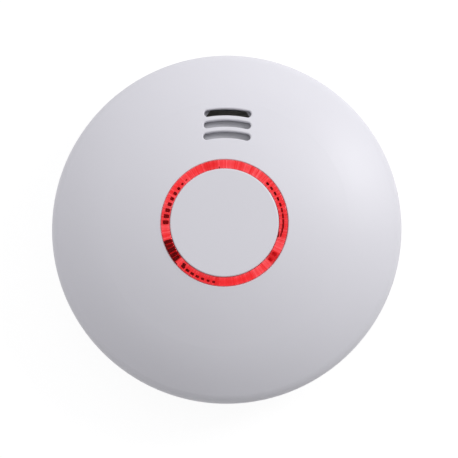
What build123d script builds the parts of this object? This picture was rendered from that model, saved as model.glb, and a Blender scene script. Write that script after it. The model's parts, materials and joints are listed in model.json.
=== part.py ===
from build123d import *
import math
import os

# Round optical smoke detector: a domed cover with a central test button inside a red light
# ring, three sound slots over the horn, a smoke inlet round the rim, and a twist-on bracket.
# Millimetres. The origin is the centre of the bracket's ceiling face, +Z points out of the
# ceiling towards the room, and +Y points from the button towards the sound slots.

# ---------------------------------------------------------------- overall
cover_r = 60.0              # the dome's widest radius, at its rim
overall_height = 38.0       # ceiling face to the top of the test button
wall = 2.0                  # wall of the dome
slide_gap = 0.3             # clearance round a piece that slides or turns
seat_gap = 0.1              # clearance between pieces that are assembled and stay put

# ---------------------------------------------------------------- bracket
bracket_r = 53.0
bracket_bore_r = 47.5
bracket_plate = 1.8
bracket_height = 5.0
bracket_rim_wall = 1.4
hook_thick = 1.2
hook_inner_r = 49.0
hook_half_angle = 8.0
stop_angle = 1.6            # width of the wall that stops a toe, in degrees
toe_half_angle = 7.0
toe_thick = 1.2
toe_inner_r = 46.9
toe_neck_r = 48.6
toe_angles = (90.0, 210.0, 330.0)
lock_play = 1.0             # degrees from a toe to its stop when locked
ear_reach_r = 28.5
ear_width = 18.0
ear_corner_r = 3.0
wall_slot_width = 4.5
wall_slot_length = 10.0
wall_slot_x = 36.0          # the screw slots' centres, each side of the middle
slot_collar_height = 1.0
slot_collar_wall = 1.6

# ---------------------------------------------------------------- base housing
floor_z = bracket_height + 0.6
floor_thick = 1.6
floor_top_z = floor_z + floor_thick
skirt_low_z = 1.2
skirt_low_r = 55.6
skirt_top_r = 57.2
skirt_wall = 1.9
skirt_top_z = 12.4
inlet_height = 3.2          # the smoke inlet between the skirt and the dome's lip
fin_count = 36
fin_thick = 1.4
fin_inner_r = 53.4
fin_recess = 0.5
fin_foot_z = 8.0
lip_z = skirt_top_z + inlet_height
pcb_standoff = 2.8
standoff_r = 2.6

# ---------------------------------------------------------------- battery and its box
cell_r = 8.35
cell_length = 33.5
cell_nub_r = 3.2
cell_nub_length = 1.0
sleeve_wall = 0.15
cell_play = 0.4             # between the cell and the long walls of its box
box_wall = 1.3
battery_y = -31.8
box_half_length = 19.6      # inside the battery box, from its middle to each end wall
contact_thick = 0.4
contact_width = 10.0
door_z = 1.4                # outer face of the battery door
door_thick = 1.5
box_corner_r = 3.0
cell_floor_gap = 0.4
hinge_offset = 1.6          # from the box wall to the hinge pin's axis
hinge_pin_r = 0.8
hinge_running_gap = 0.05
hinge_knuckle_r = 1.5
hinge_knuckle_half = 11.8
hinge_ear_thick = 1.6
thumb_lip = 1.2
thumb_lip_width = 12.0

# ---------------------------------------------------------------- circuit board
pcb_r = 49.0
pcb_thick = 1.6
pcb_z = floor_top_z + pcb_standoff
pcb_top_z = pcb_z + pcb_thick
pcb_screw_points = ((31.0, -33.0), (-31.0, -33.0), (24.5, 30.0))
pcb_post_points = ((-24.5, 30.0),)
pcb_screw_r = 1.1
lead_r = 0.3
lead_hole_r = 0.45
lead_below = 1.2            # how far a lead sticks out under the board
joint_r = 0.75              # solder pad round a lead hole

# ---------------------------------------------------------------- case screws
case_screw_circle_r = 47.0
case_screw_angles = (35.0, 145.0, 270.0)
case_screw_r = 1.4
case_head_r = 2.6
case_head_height = 1.9
case_head_sink = 0.4        # from the base's floor face in to the screw's head
case_boss_r = 3.2
case_tube_r = 3.6
case_pilot_depth = 10.0
thread_gap = 0.05

# ---------------------------------------------------------------- dome
dome_edge_drop = 1.0        # the dome's inner edge lies this far below the button's top
shoulder_inset = 18.0       # the shoulder begins this far in from the dome's widest radius
shoulder_tightness = 0.61   # the shoulder arc's radius as a part of the crown arc's
rim_r = 6.0                 # radius of the rounded rim
rim_side = 2.1              # straight side between the lip and the rounded rim
lip_round = 0.8
dome_edge_round = 0.3
shelf_inner_r = 53.0
shelf_thick = 1.2
slot_radii = (30.0, 34.0, 38.05)
slot_width = 2.4
slot_length = 16.0
slot_edge_round = 0.45

# ---------------------------------------------------------------- light ring and button
ring_outer_r = 21.2
ring_inner_r = 18.35
ring_drop = 0.6             # the ring's top lies this far below the button's top
ring_height = 3.6
ring_edge_round = 0.5
ring_flange_r = 24.8
ring_flange_thick = 1.3
ring_seat_depth = 2.8       # from the dome's inner edge down to the seat of the flange
ring_to_dome_gap = 0.1
light_leg_angles = (190.0, 334.0)
light_leg_r = 23.6
light_leg_size = (2.4, 4.0)
light_prism_count = 60
light_prism_size = 0.9
button_travel = 0.5
button_gap = 0.15           # clearance round the button inside the light ring
button_r = ring_inner_r - button_gap
button_crown = 0.35
button_plate = 1.8
button_skirt_wall = 1.45
button_skirt_depth = 5.0    # from the button's top to the foot of its skirt
button_edge_round = 0.45
hook_angles = (60.0, 150.0, 300.0)
button_hook_half_angle = 6.0
button_hook_reach = 0.85    # how far a hook reaches under the light ring
button_hook_thick = 1.0
arm_angle = 207.0
arm_width = 4.4
arm_thick = 1.6
arm_reach_r = 26.0
plunger_leg_r = 1.7
switch_r = 24.4             # distance of the test switch from the axis

# ---------------------------------------------------------------- test switch
switch_body = 6.0
switch_body_height = 3.4
switch_cap_r = 1.7
switch_cap_out = 1.6        # how far the cap stands out of the switch
switch_cap_in = 0.6
switch_rest_gap = 0.05

# ---------------------------------------------------------------- optical chamber
chamber_floor_r = 18.2
chamber_floor_thick = 1.2
holder_size = (8.0, 7.0, 7.4)
holder_r = 10.6             # middle of each optic's holder, from the axis
optic_r = 2.5
optic_flange_r = 2.9
optic_length = 7.6
optic_flange = 1.0
optic_height = 3.9          # optical axis above the chamber's floor
optic_pitch = 2.54
emitter_angle = 155.0
receiver_angle = 25.0
vane_count = 20
vane_thick = 0.9
vane_radii = (16.3, 17.4, 18.5)
vane_lean = 7.0
chamber_cap_r = 19.0
chamber_cap_z = 27.2
chamber_cap_thick = 1.2
spigot_r = 3.0
spigot_height = 2.0
screen_outer_r = 19.9
screen_wall = 0.7
screen_window_count = 64
screen_window_width = 1.05
screen_rows = 3
screen_band = 0.6
septum_thick = 1.2

# ---------------------------------------------------------------- horn
horn_y = 35.6
horn_r = 15.3
horn_wall = 1.2
horn_top_z = 20.4
disc_r = 13.5
disc_thick = 0.25
disc_z = 16.0
ceramic_r = 9.6
ceramic_thick = 0.2
disc_ledge_r = 12.6
horn_seal_thick = 0.6
horn_cap_thick = 1.6
spout_half_width = 10.4
spout_wall = 1.2
spout_y = (26.9, 41.4)
spout_gap = 0.8             # between the spout's top and the inside of the dome
spout_port_r = 36.0         # the port lies beyond this distance from the button's axis
spout_port_half = (8.5, 5.5)    # half width of the port at its near and far edge
horn_spring_points = ((0.0, 0.0), (11.3, 0.0), (-11.3, 0.0))
horn_spring_r = 1.2
horn_spring_wire = 0.35
horn_spring_turns = 4

# ---------------------------------------------------------------- springs and label
button_spring_r = 3.7
button_spring_wire = 0.5
button_spring_turns = 5
label_size = (44.0, 20.0)
label_thick = 0.2
label_y = 20.0

# ---------------------------------------------------------------- places worked out from these
button_top_z = overall_height
dome_edge_z = overall_height - dome_edge_drop
dome_edge_r = ring_outer_r + ring_to_dome_gap
shoulder_start_r = cover_r - shoulder_inset
ring_top_z = overall_height - ring_drop
ring_bottom_z = ring_top_z - ring_height
ring_seat_z = dome_edge_z - ring_seat_depth
ring_flange_z = ring_seat_z - ring_flange_thick
button_skirt_z = button_top_z - button_skirt_depth
light_prism_r = (ring_inner_r + ring_outer_r) / 2 - 0.3
cell_z = door_z + door_thick + seat_gap + cell_floor_gap + cell_r + sleeve_wall
box_low_z = door_z + door_thick + seat_gap
box_half_width = cell_r + sleeve_wall + cell_play
box_top_z = cell_z + cell_r + sleeve_wall + cell_floor_gap
box_outer_length = 2 * (box_half_length + box_wall)
box_outer_width = 2 * (box_half_width + box_wall)
hinge_y = battery_y + box_outer_width / 2 + hinge_offset
hinge_z = door_z + door_thick + 0.3
switch_top_z = pcb_top_z + switch_body_height + switch_cap_out
chamber_floor_z = pcb_top_z + chamber_floor_thick
chamber_top_z = chamber_cap_z + chamber_cap_thick
optic_z = chamber_floor_z + optic_height
button_under_z = button_top_z - button_plate


# ================================================================ helpers
BOTTOM = (Align.CENTER, Align.CENTER, Align.MIN)


def polar(radius, angle):
    """Point at this distance from the axis, at this angle in degrees from +X."""
    return radius * math.cos(math.radians(angle)), radius * math.sin(math.radians(angle))


def disc(radius, low, high, x=0.0, y=0.0):
    """Upright cylinder between two heights."""
    return Pos(x, y, low) * Cylinder(radius, high - low, align=BOTTOM)


def tube(outer, inner, low, high, x=0.0, y=0.0):
    """Upright pipe between two heights."""
    return disc(outer, low, high, x, y) - disc(inner, low - 1, high + 1, x, y)


def block(xs, ys, zs):
    """Box between two values along each axis."""
    size = [b - a for a, b in (xs, ys, zs)]
    middle = [(a + b) / 2 for a, b in (xs, ys, zs)]
    return Pos(*middle) * Box(*size)


def rounded_block(length, width, corner, low, high, x=0.0, y=0.0):
    """Upright block with rounded corners in plan."""
    outline = Pos(x, y, low) * RectangleRounded(length, width, corner)
    return extrude(outline, high - low)


def sector(inner, outer, low, high, start, end):
    """The part of a pipe between two angles in degrees."""
    outside = CenterArc((0, 0), outer, start, end - start)
    inside = CenterArc((0, 0), inner, start, end - start)
    sides = [Line(outside @ 0, inside @ 0), Line(outside @ 1, inside @ 1)]
    return extrude(Pos(0, 0, low) * make_face([outside, inside] + sides), high - low)


def radial_block(inner, outer, width, low, high, angle):
    """Box that lies along a radius, at an angle in degrees."""
    bar = block((inner, outer), (-width / 2, width / 2), (low, high))
    return Rot(0, 0, angle) * bar


def coil(radius, wire, low, high, turns, x=0.0, y=0.0):
    """Round-wire compression spring between two heights."""
    height = high - low - wire
    path = Helix(pitch=height / turns, height=height, radius=radius)
    section = Plane(origin=path @ 0, z_dir=path % 0) * Circle(wire / 2)
    return Pos(x, y, low + wire / 2) * sweep(section, path=path)


def lead(x, y, top):
    """Wire lead from a component down through the board."""
    return disc(lead_r, pcb_z - lead_below, top, x, y)


def case_screw_points():
    return [polar(case_screw_circle_r, angle) for angle in case_screw_angles]


# ================================================================ bracket
def mounting_bracket():
    """Ring with two ears for the ceiling screws and three bayonet hooks on its rim."""
    body = tube(bracket_r, bracket_bore_r, 0, bracket_plate)
    body += tube(bracket_r, bracket_r - bracket_rim_wall, 0, bracket_height)
    ear_length = bracket_bore_r + 1.5 - ear_reach_r
    ear_middle = ear_reach_r + ear_length / 2
    for side in (-1, 1):
        x = side * ear_middle
        body += rounded_block(ear_length, ear_width, ear_corner_r, 0, bracket_plate, x)
        collar = Pos(side * wall_slot_x, 0, 0) * SlotOverall(
            wall_slot_length + 2 * slot_collar_wall, wall_slot_width + 2 * slot_collar_wall
        )
        body += extrude(collar, bracket_plate + slot_collar_height)
    hook_outer = bracket_r - bracket_rim_wall / 2
    stop_start = toe_half_angle + lock_play
    for angle in toe_angles:
        body += sector(
            hook_inner_r, hook_outer, bracket_height - hook_thick, bracket_height,
            angle - stop_start - stop_angle, angle + hook_half_angle,
        )
        body += sector(
            hook_inner_r, hook_outer, 0, bracket_height,
            angle - stop_start - stop_angle, angle - stop_start,
        )
    for side in (-1, 1):
        slot = Pos(side * wall_slot_x, 0, -1) * SlotOverall(wall_slot_length, wall_slot_width)
        body -= extrude(slot, bracket_height + 2)
    return body


# ================================================================ base housing
def skirt():
    """Slightly flared outer wall of the base."""
    outline = Polyline(
        (skirt_low_r, skirt_low_z),
        (skirt_top_r, skirt_top_z),
        (skirt_top_r - skirt_wall, skirt_top_z),
        (skirt_low_r - skirt_wall, skirt_low_z),
        close=True,
    )
    return revolve(Plane.XZ * make_face(outline), Axis.Z)


def inlet_fins():
    """Radial fins across the smoke inlet, rooted on the inner side of the skirt."""
    root = radial_block(
        fin_inner_r, skirt_top_r - skirt_wall + 0.6, fin_thick, fin_foot_z, skirt_top_z, 0
    )
    blade = radial_block(
        fin_inner_r, skirt_top_r - fin_recess, fin_thick, skirt_top_z - 0.4, lip_z - seat_gap, 0
    )
    fin = root + blade
    step = 360 / fin_count
    return [Rot(0, 0, (i + 0.5) * step) * fin for i in range(fin_count)]


def battery_box_outline(low, high):
    return rounded_block(
        box_outer_length, box_outer_width, box_corner_r, low, high, 0, battery_y
    )


def bayonet_toes():
    """Three toes that reach under the bracket's hooks."""
    toe_low = bracket_plate + 0.4
    toe_outer = bracket_r - bracket_rim_wall - 0.4
    toes = []
    for angle in toe_angles:
        start, end = angle - toe_half_angle, angle + toe_half_angle
        toes.append(sector(toe_inner_r, toe_neck_r, toe_low, floor_z + 0.5, start, end))
        toes.append(sector(toe_inner_r, toe_outer, toe_low, toe_low + toe_thick, start, end))
    return toes


def base_housing():
    """Rear shell: floor, skirt, inlet fins, battery box, screw tubes and bayonet toes."""
    body = disc(skirt_low_r - skirt_wall + 1.0, floor_z, floor_top_z) + skirt()
    body += inlet_fins()
    body += bayonet_toes()
    body += battery_box_outline(box_low_z, box_top_z + box_wall)
    for x, y in case_screw_points():
        body += disc(case_tube_r, floor_z, pcb_z, x, y)
    for x, y in pcb_screw_points + pcb_post_points:
        body += disc(standoff_r, floor_z + 0.5, pcb_z, x, y)
    ear_out = hinge_knuckle_half + slide_gap
    for side in (-1, 1):
        near, far = sorted((side * ear_out, side * (ear_out + hinge_ear_thick)))
        hanger = block(
            (near, far), (hinge_y - hinge_offset - 0.5, hinge_y + hinge_knuckle_r),
            (hinge_z, floor_z + 0.5),
        )
        eye = Pos((near + far) / 2, hinge_y, hinge_z) * Rot(0, 90, 0) * Cylinder(
            hinge_knuckle_r, hinge_ear_thick
        )
        body += hanger + eye
    body -= rounded_block(
        2 * box_half_length, 2 * box_half_width, box_corner_r - box_wall,
        box_low_z - 1, box_top_z, 0, battery_y,
    )
    contact_slot = (
        (-box_half_length - 2 * box_wall, box_half_length + 2 * box_wall),
        (battery_y - contact_width / 4 - 0.3, battery_y + contact_width / 4 + 0.3),
        (pcb_top_z - 0.1, pcb_top_z + contact_thick + 0.3),
    )
    body -= block(*contact_slot)
    body -= hinge_bar(hinge_pin_r, hinge_knuckle_half + hinge_ear_thick + 2)
    for x, y in case_screw_points():
        head_seat = floor_z + case_head_sink + case_head_height
        body -= disc(case_head_r + slide_gap, floor_z - 1, head_seat, x, y)
        body -= disc(case_screw_r + slide_gap, floor_z, pcb_z + 1, x, y)
    for x, y in pcb_screw_points:
        body -= disc(pcb_screw_r + thread_gap, floor_top_z + 0.2, pcb_z + 1, x, y)
    return body


def hinge_bar(radius, half_length):
    return Pos(0, hinge_y, hinge_z) * Rot(0, 90, 0) * Cylinder(radius, 2 * half_length)


def battery_door():
    """Flat door over the battery box, with a hinge knuckle and a thumb lip."""
    body = battery_box_outline(door_z, door_z + door_thick)
    lip_y = battery_y - box_outer_width / 2
    body += block(
        (-thumb_lip_width / 2, thumb_lip_width / 2), (lip_y - thumb_lip, lip_y + 2),
        (door_z, door_z + door_thick),
    )
    bridge = block(
        (-hinge_knuckle_half, hinge_knuckle_half),
        (hinge_y - hinge_offset - 1, hinge_y), (door_z, door_z + door_thick),
    )
    body += bridge
    body += hinge_bar(hinge_knuckle_r, hinge_knuckle_half)
    body -= hinge_bar(hinge_pin_r + hinge_running_gap, hinge_knuckle_half + 1)
    rib_y = box_half_width - slide_gap
    for side in (-1, 1):
        ear_start = side * hinge_knuckle_half
        ear_end = side * (hinge_knuckle_half + 2 * slide_gap + hinge_ear_thick)
        relief_y = hinge_y - hinge_offset - 2 * slide_gap
        body -= block(
            sorted((ear_start, ear_end)), (relief_y, hinge_y + 3), (door_z - 1, hinge_z + 3)
        )
        ys = sorted((battery_y + side * rib_y, battery_y + side * (rib_y - 0.9)))
        body += block((-15, 15), ys, (door_z + 0.5, door_z + door_thick + 0.9))
    for offset in (-3.0, 0.0, 3.0):
        y = battery_y - box_half_width + 2 + offset / 2
        body -= block((-4, 4), (y - 0.35, y + 0.35), (door_z - 1, door_z + 0.4))
    return body


def door_hinge_pin():
    return hinge_bar(hinge_pin_r, hinge_knuckle_half + slide_gap + hinge_ear_thick)


# ================================================================ battery
def along_battery(shape, start):
    """Turns an upright shape onto the battery's axis, its foot at this X."""
    return Pos(start, battery_y, cell_z) * Rot(0, 90, 0) * shape


def cell_start():
    return -(cell_length + cell_nub_length) / 2


def battery_cell():
    can = along_battery(Cylinder(cell_r, cell_length, align=BOTTOM), cell_start())
    can = fillet(can.edges().filter_by(GeomType.CIRCLE), 0.6)
    nub = Cylinder(cell_nub_r, cell_nub_length, align=BOTTOM)
    return can + along_battery(nub, cell_start() + cell_length)


def battery_sleeve():
    length = cell_length - 2.0
    outer = Cylinder(cell_r + sleeve_wall, length, align=BOTTOM)
    inner = Cylinder(cell_r, length, align=BOTTOM)
    return along_battery(outer - inner, cell_start() + 1.0)


def contact_strip(side):
    """Flat contact on an end wall of the box, with a foot that lies on the board."""
    face = side * (box_half_length - seat_gap)
    xs = sorted((face, face - side * contact_thick))
    plate = block(
        xs, (battery_y - contact_width / 2, battery_y + contact_width / 2),
        (cell_z - cell_r + 1.85, cell_z + cell_r - 1.85),
    )
    foot_xs = sorted((face - side * contact_thick, side * (box_outer_length / 2 + 4.5)))
    foot = block(
        foot_xs, (battery_y - contact_width / 4, battery_y + contact_width / 4),
        (pcb_top_z, pcb_top_z + contact_thick),
    )
    return plate + foot


def battery_contact_positive():
    """Strip with a raised dimple that meets the cell's nub."""
    nub_face = cell_start() + cell_length + cell_nub_length
    plate_face = box_half_length - seat_gap - contact_thick
    dimple = Cone(2.6, 1.4, plate_face - nub_face - 0.02, align=BOTTOM)
    dimple = Pos(plate_face, battery_y, cell_z) * Rot(0, -90, 0) * dimple
    return contact_strip(1) + dimple


def battery_contact_negative():
    """Strip that carries the negative spring."""
    return contact_strip(-1)


def battery_spring():
    """Conical spring between the negative strip and the cell's flat end."""
    wire = 0.6
    room = cell_start() + box_half_length - seat_gap - contact_thick
    path = Helix(pitch=(room - wire) / 2, height=room - wire, radius=4.6, cone_angle=-38)
    section = Plane(origin=path @ 0, z_dir=path % 0) * Circle(wire / 2)
    spring = sweep(section, path=path)
    foot = -box_half_length + seat_gap + contact_thick + wire / 2
    return Pos(foot, battery_y, cell_z) * Rot(0, 90, 0) * spring


# ================================================================ circuit board
capacitors = ((30.5, -18.5, 3.15, 11.0), (38.0, -15.5, 2.5, 11.0), (30.0, 16.5, 4.0, 7.5))
coil_point = (-29.5, 17.5)
coil_core_r = 4.2
coil_height = 9.0
header_point = (-38.5, -13.0)
controller_point = (35.0, 2.0)
driver_point = (-34.5, 4.0)
crystal_point = (26.5, 5.5)


def capacitor_leads():
    return [(x + side * 1.25, y) for x, y, _, _ in capacitors for side in (-1, 1)]


def coil_leads():
    x, y = coil_point
    return [(x + polar(3.0, a)[0], y + polar(3.0, a)[1]) for a in (90, 210, 330)]


def header_leads():
    x, y = header_point
    return [(x, y + (i - 1.5) * 2.54) for i in range(4)]


def optic_leads(angle):
    """Two leads side by side behind an emitter or receiver."""
    back = holder_r - holder_size[0] / 2 + optic_length + optic_flange + 0.45
    x, y = polar(back, angle)
    across = polar(optic_pitch / 2, angle + 90)
    return [(x + s * across[0], y + s * across[1]) for s in (-1, 1)]


def crystal_leads():
    x, y = crystal_point
    return [(x, y - 2.4), (x, y + 2.4)]


def all_leads():
    return (
        capacitor_leads() + coil_leads() + header_leads() + crystal_leads()
        + optic_leads(emitter_angle) + optic_leads(receiver_angle)
    )


def main_pcb():
    """Round board, open round the battery box and at the case screws."""
    body = disc(pcb_r, pcb_z, pcb_top_z)
    margin = 1.0
    body -= block(
        (-box_outer_length / 2 - margin, box_outer_length / 2 + margin),
        (-pcb_r - 1, battery_y + box_outer_width / 2 + margin), (pcb_z - 1, pcb_top_z + 1),
    )
    for x, y in case_screw_points():
        body -= disc(case_tube_r + 0.5, pcb_z - 1, pcb_top_z + 1, x, y)
    for x, y in pcb_screw_points:
        body -= disc(pcb_screw_r + slide_gap, pcb_z - 1, pcb_top_z + 1, x, y)
    for x, y in all_leads():
        body -= disc(lead_hole_r, pcb_z - 1, pcb_top_z + 1, x, y)
    return body


def solder_joints():
    """Small cones of solder under the board, one at each lead."""
    joints = []
    for x, y in all_leads():
        cone = Pos(x, y, pcb_z - 0.9) * Cone(lead_r + 0.12, joint_r, 0.9, align=BOTTOM)
        joints.append(cone - disc(lead_r, pcb_z - 2, pcb_z + 1, x, y))
    return Compound(children=joints)


def chip(x, y, length, width, height, pins, turn=0.0):
    """Gull-wing package: a chamfered body and rows of bent legs."""
    stand = 0.15
    body = Pos(0, 0, stand) * Box(length, width, height - stand, align=BOTTOM)
    body = chamfer(body.edges().group_by(Axis.Z)[-1], 0.25)
    pitch = 1.27
    for i in range(pins // 2):
        along = (i - (pins // 2 - 1) / 2) * pitch
        for side in (-1, 1):
            knee = sorted((side * (width / 2 - 0.3), side * (width / 2 + 0.5)))
            foot = sorted((side * (width / 2 + 0.3), side * (width / 2 + 1.3)))
            body += block((along - 0.2, along + 0.2), knee, (height / 2, height / 2 + 0.2))
            drop = sorted((side * (width / 2 + 0.3), side * (width / 2 + 0.5)))
            body += block((along - 0.2, along + 0.2), drop, (0, height / 2 + 0.2))
            body += block((along - 0.2, along + 0.2), foot, (0, 0.2))
    return Pos(x, y, pcb_top_z) * Rot(0, 0, turn) * body


def microcontroller():
    x, y = controller_point
    return chip(x, y, 12.8, 7.5, 2.5, 20, 90)


def horn_driver_chip():
    x, y = driver_point
    return chip(x, y, 4.9, 3.9, 1.7, 8, 0)


def electrolytic_capacitors():
    """Upright cans with a crimped groove and two leads each."""
    cans = []
    for x, y, radius, height in capacitors:
        can = disc(radius, pcb_top_z + 0.2, pcb_top_z + height, x, y)
        can = fillet(can.edges().filter_by(GeomType.CIRCLE), 0.4)
        can -= tube(radius + 1, radius - 0.3, pcb_top_z + 1.4, pcb_top_z + 1.9, x, y)
        for side in (-1, 1):
            can += lead(x + side * 1.25, y, pcb_top_z + 0.6)
        cans.append(can)
    return Compound(children=cans)


def horn_coil():
    """Drum core with a winding, on three leads."""
    x, y = coil_point
    low = pcb_top_z + 0.4
    body = disc(coil_core_r, low, low + 1.2, x, y)
    body += disc(coil_core_r - 0.5, low + 1.0, low + coil_height - 1.0, x, y)
    body += disc(coil_core_r, low + coil_height - 1.2, low + coil_height, x, y)
    for lx, ly in coil_leads():
        body += lead(lx, ly, low + 0.5)
    return body


def programming_header():
    x, y = header_point
    body = block((x - 1.25, x + 1.25), (y - 5.08, y + 5.08), (pcb_top_z, pcb_top_z + 2.5))
    for lx, ly in header_leads():
        body += block((lx - 0.3, lx + 0.3), (ly - 0.3, ly + 0.3), (pcb_top_z + 1, pcb_top_z + 8))
        body += lead(lx, ly, pcb_top_z + 1.5)
    return body


def crystal_resonator():
    x, y = crystal_point
    outline = Pos(x, y, pcb_top_z + 0.3) * Rot(0, 0, 90) * SlotOverall(10.0, 3.8)
    body = extrude(outline, 3.4)
    for lx, ly in crystal_leads():
        body += lead(lx, ly, pcb_top_z + 0.6)
    return body


def smd_components():
    """Rows of small chip resistors and capacitors."""
    rows = (
        ((24.5, -3.5), (0, 1), 2, 2.2),
        ((42.8, -4.0), (0, 1), 5, 2.4),
        ((30.5, 10.5), (1, 0), 3, 2.6),
        ((-42.5, -4.0), (0, 1), 6, 2.3),
        ((-28.5, -1.5), (0, 1), 4, 2.2),
        ((-36.0, 10.5), (1, 0), 3, 2.6),
        ((-29.0, -20.5), (1, 0), 4, 2.8),
        ((24.5, -25.0), (1, 0), 4, 2.8),
    )
    pieces = []
    for (x, y), (dx, dy), count, pitch in rows:
        for i in range(count):
            cx, cy = x + dx * pitch * i, y + dy * pitch * i
            length, width = (1.0, 2.0) if dx else (2.0, 1.2)
            pieces.append(
                block(
                    (cx - length / 2, cx + length / 2), (cy - width / 2, cy + width / 2),
                    (pcb_top_z, pcb_top_z + 0.7),
                )
            )
    return Compound(children=pieces)


def switch_place():
    x, y = polar(switch_r, arm_angle)
    return Pos(x, y, pcb_top_z) * Rot(0, 0, arm_angle)


def test_switch_body():
    """Tact switch with four feet and a well for its cap."""
    half = switch_body / 2
    body = block((-half, half), (-half, half), (0, switch_body_height))
    for sx in (-1, 1):
        for sy in (-1, 1):
            ys = sorted((sy * half * 0.9, sy * (half + 1.2)))
            xs = sorted((sx * 2.6, sx * 1.9))
            body += block(xs, ys, (0, 0.3))
    well_floor = switch_body_height - switch_cap_in - button_travel - 0.2
    body -= disc(switch_cap_r + 0.1, well_floor, switch_body_height + 1)
    return switch_place() * body


def test_switch_cap():
    low = switch_body_height - switch_cap_in
    cap = disc(switch_cap_r, low, switch_body_height + switch_cap_out)
    return switch_place() * chamfer(cap.edges().group_by(Axis.Z)[-1], 0.2)


def indicator_leds():
    """Two surface-mount lamps, each under a leg of the light ring."""
    lamps = []
    for angle in light_leg_angles:
        body = block((-1.4, 1.4), (-1.6, 1.6), (0, 1.4)) + disc(1.2, 1.0, 1.9)
        x, y = polar(light_leg_r, angle)
        lamps.append(Pos(x, y, pcb_top_z) * Rot(0, 0, angle) * body)
    return Compound(children=lamps)


def pcb_screws():
    screws = []
    for x, y in pcb_screw_points:
        head = disc(2.2, pcb_top_z, pcb_top_z + 1.6, x, y)
        head = fillet(head.edges().group_by(Axis.Z)[-1], 0.6)
        shank = disc(pcb_screw_r, floor_top_z + 0.4, pcb_top_z + 0.5, x, y)
        recess = block((x - 1.3, x + 1.3), (y - 0.3, y + 0.3), (pcb_top_z + 0.8, pcb_top_z + 2))
        cross = Pos(x, y, 0) * Rot(0, 0, 90) * Pos(-x, -y, 0) * recess
        screws.append(head + shank - recess - cross)
    return Compound(children=screws)


# ================================================================ optical chamber
def optic(angle):
    """Clear-ended optical part lying along a radius, with its leads bent down to the board."""
    front = holder_r - holder_size[0] / 2 + optic_r
    barrel_length = optic_length - optic_r
    barrel = Cylinder(optic_r, barrel_length, align=BOTTOM)
    flange = Pos(0, 0, barrel_length) * Cylinder(optic_flange_r, optic_flange, align=BOTTOM)
    body = Sphere(optic_r) + barrel + flange
    body = Pos(front, 0, optic_z) * Rot(0, 90, 0) * body
    back = front + barrel_length + optic_flange
    for side in (-1, 1):
        y = side * optic_pitch / 2
        body += block((back - 0.2, back + 0.75), (y - 0.3, y + 0.3), (optic_z - 0.3, optic_z + 0.3))
        body += disc(lead_r, pcb_z - lead_below, optic_z, back + 0.45, y)
    return Rot(0, 0, angle) * body


def infrared_emitter():
    return optic(emitter_angle)


def photodiode():
    return optic(receiver_angle)


def chamber_base():
    """Black floor of the chamber with the two optic holders and the light trap between."""
    body = disc(chamber_floor_r, pcb_top_z, chamber_floor_z)
    length, width, height = holder_size
    top = chamber_floor_z + height
    for angle in (emitter_angle, receiver_angle):
        start = holder_r - length / 2
        body += radial_block(
            start, start + length, width, chamber_floor_z - 0.4, top, angle
        )
        bore = Rot(0, 0, angle) * (
            Pos(start - 1, 0, optic_z) * Rot(0, 90, 0) * Cylinder(
                optic_r + 0.05, length + 2, align=BOTTOM
            )
        )
        seat = Rot(0, 0, angle) * (
            Pos(start + optic_length, 0, optic_z) * Rot(0, 90, 0) * Cylinder(
                optic_flange_r + 0.1, length, align=BOTTOM
            )
        )
        body -= bore + seat
        for x, y in optic_leads(angle):
            body -= disc(lead_hole_r, pcb_top_z - 1, chamber_floor_z + 1, x, y)
    trap = (emitter_angle + receiver_angle) / 2
    body += radial_block(4.0, 15.0, septum_thick, chamber_floor_z - 0.4, top, trap)
    for offset in (-22, 22):
        body += radial_block(8.0, 14.5, septum_thick, chamber_floor_z - 0.4, top, trap + offset)
    return body


def photodiode_shield():
    """Folded tin cover over the receiver's holder."""
    length, width, height = holder_size
    start = holder_r - length / 2
    gap, sheet = 0.15, 0.3
    low, top = chamber_floor_z, chamber_floor_z + height
    outer = block(
        (start + 0.6, start + length - 1.2), (-width / 2 - gap - sheet, width / 2 + gap + sheet),
        (low, top + gap + sheet),
    )
    inner = block(
        (start, start + length), (-width / 2 - gap, width / 2 + gap), (low - 1, top + gap)
    )
    return Rot(0, 0, receiver_angle) * (outer - inner)


def labyrinth_vane():
    """One chevron vane: it leans out to a knee and back, so no light passes straight in."""
    inner, knee, outer = vane_radii
    half = vane_thick / 2
    points = []
    for radius, lean, shift in (
        (inner, 0.0, -half), (knee, vane_lean, -half), (outer, 1.0, -half),
        (outer, 1.0, half), (knee, vane_lean, half), (inner, 0.0, half),
    ):
        x, y = polar(radius, lean)
        points.append((x, y + shift))
    face = make_face(Polyline(*points, close=True))
    low = chamber_floor_z + seat_gap
    return extrude(Pos(0, 0, low) * face, chamber_cap_z - low + 0.3)


def chamber_cap():
    """Black lid of the chamber: labyrinth vanes hang from it, and a spigot holds the spring."""
    body = disc(chamber_cap_r, chamber_cap_z, chamber_top_z)
    vane = labyrinth_vane()
    step = 360 / vane_count
    body += [Rot(0, 0, i * step) * vane for i in range(vane_count)]
    for radius in (4.0, 8.0, 12.0):
        body += tube(radius + 0.5, radius - 0.5, chamber_cap_z - 1.4, chamber_cap_z + 0.2)
    spigot = disc(spigot_r, chamber_top_z - 0.2, chamber_top_z + spigot_height)
    return body + chamfer(spigot.edges().group_by(Axis.Z)[-1], 0.4)


def insect_screen():
    """Comb of fine square windows round the chamber, which keeps insects out."""
    inner = screen_outer_r - screen_wall
    low, high = pcb_top_z, chamber_top_z
    body = tube(screen_outer_r, inner, low, high)
    body += tube(screen_outer_r, chamber_floor_r + seat_gap, low, low + chamber_floor_thick)
    first = low + chamber_floor_thick
    pitch = (high - first - screen_band) / screen_rows
    step = 360 / screen_window_count
    windows = []
    for row in range(screen_rows):
        z = first + row * pitch
        window = radial_block(
            inner - 1, screen_outer_r + 1, screen_window_width, z + screen_band, z + pitch, 0
        )
        windows += [Rot(0, 0, i * step) * window for i in range(screen_window_count)]
    return body - windows


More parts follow.
